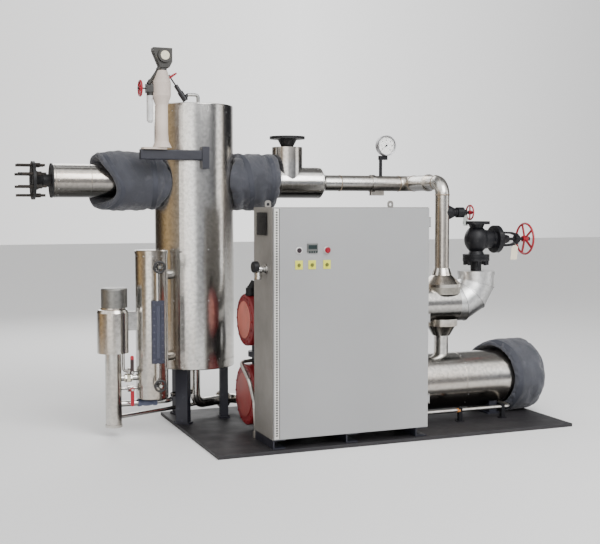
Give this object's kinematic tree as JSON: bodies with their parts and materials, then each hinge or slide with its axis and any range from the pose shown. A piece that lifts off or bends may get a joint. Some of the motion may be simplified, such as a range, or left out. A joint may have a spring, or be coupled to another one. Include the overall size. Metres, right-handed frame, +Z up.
{
  "type": "skid-mounted industrial boiler",
  "caption": "Skid-mounted industrial boiler: upright clad vessel on legs, two level heaters, insulated pipework with a globe valve, level instruments and a control cabinet with a hinged door.",
  "frame": {"origin": "centre of the base plate's underside, where the skid stands on the floor", "axes": "+X along the plate to the right of somebody facing the cabinet door, +Y from the door to the back, +Z up"},
  "size_m": [4.09, 1.605, 2.853],
  "materials": {
    "deck": "charcoal paint, worn",
    "cladding": "rolled stainless cladding sheet, scuffed",
    "pipe_cladding": "bright stainless pipe cladding",
    "jacket": "dark grey insulation cloth",
    "flange_steel": "dark oiled steel",
    "leg_paint": "dark blue-grey paint",
    "cabinet_paint": "light grey powder coat",
    "red_paint": "red enamel",
    "valve_paint": "near-black cast iron",
    "silver_pipe": "plain steel tube",
    "black_plastic": "black plastic",
    "controls": "push buttons, display and selector switches",
    "gauge_face": "white dial under glass in a grey rim",
    "sight_glass": "blue-grey sight strip",
    "stand_cover": "beige paint",
    "blue_grey": "blue-grey valve paint",
    "zinc": "zinc-plated sheet"
  },
  "bodies": {
    "skid": {"base_plate": "deck", "cabinet_feet": "leg_paint", "cabinet_mounting_plate": "zinc", "cabinet_shell": "cabinet_paint", "cable_entry": "black_plastic", "channel_link": "leg_paint", "conduit_posts": "valve_paint", "conduits": "silver_pipe", "crossover_jacket": "jacket", "gauge_cocks": "silver_pipe", "gauge_siphon": "valve_paint", "header_pipe": "pipe_cladding", "heater_end_jacket": "jacket", "heater_saddles": "leg_paint", "left_instrument_valve": "valve_paint", "level_column": "cladding", "level_pipes": "silver_pipe", "level_valve": "blue_grey", "link_pipe": "pipe_cladding", "lower_heater_cover": "red_paint", "lower_heater_shell": "cladding", "main_valve_body": "valve_paint", "main_valve_bonnet": "valve_paint", "mitred_elbow": "pipe_cladding", "outlet_cladding": "pipe_cladding", "outlet_flange": "flange_steel", "outlet_jacket": "jacket", "outlet_studs": "flange_steel", "pressure_gauge": "gauge_face", "probe_cap": "cladding", "probe_chamber": "pipe_cladding", "relief_flange": "flange_steel", "right_instrument_valve": "valve_paint", "riser_pipe": "pipe_cladding", "side_valve": "valve_paint", "sight_gauge": "sight_glass", "tee_cladding": "pipe_cladding", "transmitter_arm": "leg_paint", "transmitter_head": "black_plastic", "transmitter_stanchion": "stand_cover", "upper_heater_cover": "red_paint", "upper_heater_shell": "cladding", "upper_pipe_cladding": "pipe_cladding", "valve_neck": "valve_paint", "vessel_bottom": "cladding", "vessel_drain_pipe": "cladding", "vessel_legs": "leg_paint", "vessel_shell": "cladding", "vessel_top": "cladding"},
    "door": {"cabinet_door": "cabinet_paint", "door_controls": "controls"},
    "main_wheel": {"main_valve_handwheel": "red_paint"},
    "side_wheel": {"side_valve_handwheel": "red_paint"},
    "left_stand_wheel": {"left_instrument_wheel": "red_paint"},
    "right_stand_wheel": {"right_instrument_wheel": "red_paint"},
    "upper_gauge_wheel": {"upper_cock_wheel": "black_plastic"},
    "lower_gauge_wheel": {"lower_cock_wheel": "black_plastic"},
    "upper_lever": {"upper_cock_lever": "red_paint"},
    "lower_lever": {"lower_cock_lever": "red_paint"}
  },
  "joints": [
    {"name": "door_hinge", "type": "hinge", "parent": "skid", "child": "door", "pos_m": [0.183, -0.768, 0.89], "axis": [0, 0, 1], "range_deg": [0, 115]},
    {"name": "main_wheel_turn", "type": "hinge", "parent": "skid", "child": "main_wheel", "pos_m": [1.442, -0.1, 1.43], "axis": [-1, 0, 0], "range_deg": [0, 1620]},
    {"name": "side_wheel_turn", "type": "hinge", "parent": "skid", "child": "side_wheel", "pos_m": [0.916, -0.1, 1.648], "axis": [-1, 0, 0], "range_deg": [0, 900]},
    {"name": "left_stand_wheel_turn", "type": "hinge", "parent": "skid", "child": "left_stand_wheel", "pos_m": [-1.718, 0.14, 2.556], "axis": [1, 0, 0], "range_deg": [0, 900]},
    {"name": "right_stand_wheel_turn", "type": "hinge", "parent": "skid", "child": "right_stand_wheel", "pos_m": [-1.45187, 0.3, 2.66594], "axis": [0.5708, 0, -0.8211], "range_deg": [0, 900]},
    {"name": "upper_gauge_wheel_turn", "type": "hinge", "parent": "skid", "child": "upper_gauge_wheel", "pos_m": [-1.632, -0.044, 1.257], "axis": [0, 1, 0], "range_deg": [0, 540]},
    {"name": "lower_gauge_wheel_turn", "type": "hinge", "parent": "skid", "child": "lower_gauge_wheel", "pos_m": [-1.632, -0.044, 0.39], "axis": [0, 1, 0], "range_deg": [0, 540]},
    {"name": "upper_lever_turn", "type": "hinge", "parent": "skid", "child": "upper_lever", "pos_m": [-1.806, 0.1055, 0.478], "axis": [0, -1, 0], "range_deg": [0, 90]},
    {"name": "lower_lever_turn", "type": "hinge", "parent": "skid", "child": "lower_lever", "pos_m": [-1.806, 0.1055, 0.35], "axis": [0, 1, 0], "range_deg": [0, 90]}
  ]
}
